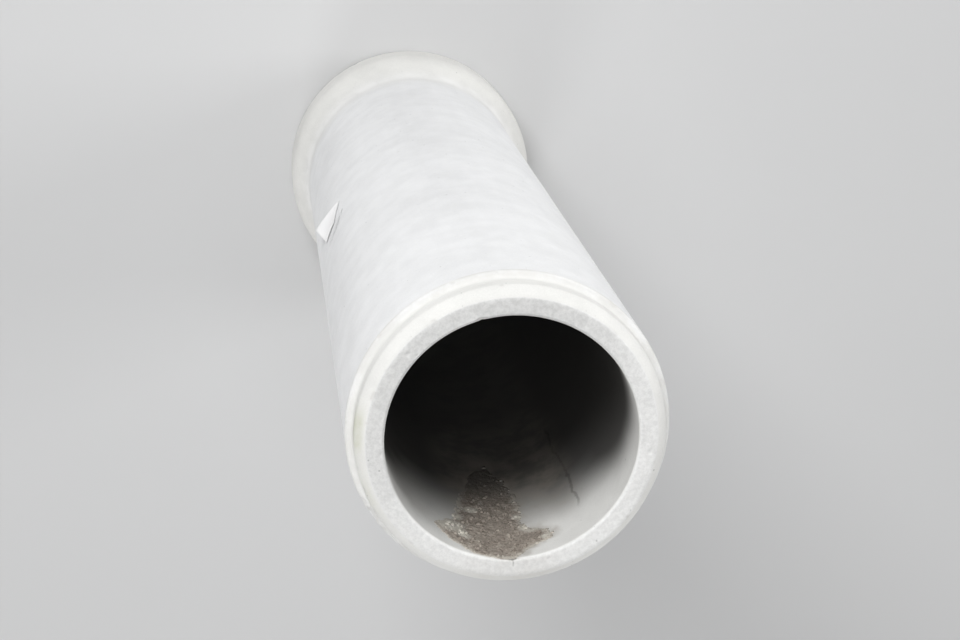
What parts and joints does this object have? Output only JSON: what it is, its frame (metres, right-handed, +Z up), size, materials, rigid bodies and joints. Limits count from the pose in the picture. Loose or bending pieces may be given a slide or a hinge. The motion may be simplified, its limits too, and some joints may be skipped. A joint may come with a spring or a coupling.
{
  "type": "concrete culvert pipe",
  "caption": "Precast concrete culvert pipe standing on its bell: round bore, thick wall, stepped spigot, and a flared bell socket with a rubber seal.",
  "frame": {"origin": "on the ground, on the pipe's axis, at the centre of the bell's face", "axes": "+Z up the pipe's axis, from the bell to the spigot; -Y the side that lies on top in the picture"},
  "size_m": [0.7498, 0.7498, 2.575],
  "materials": {
    "concrete": "fine cast, dusty",
    "seal_rubber": "satin"
  },
  "bodies": {
    "root": {"pipe": "concrete", "joint_seal": "seal_rubber"}
  },
  "joints": []
}
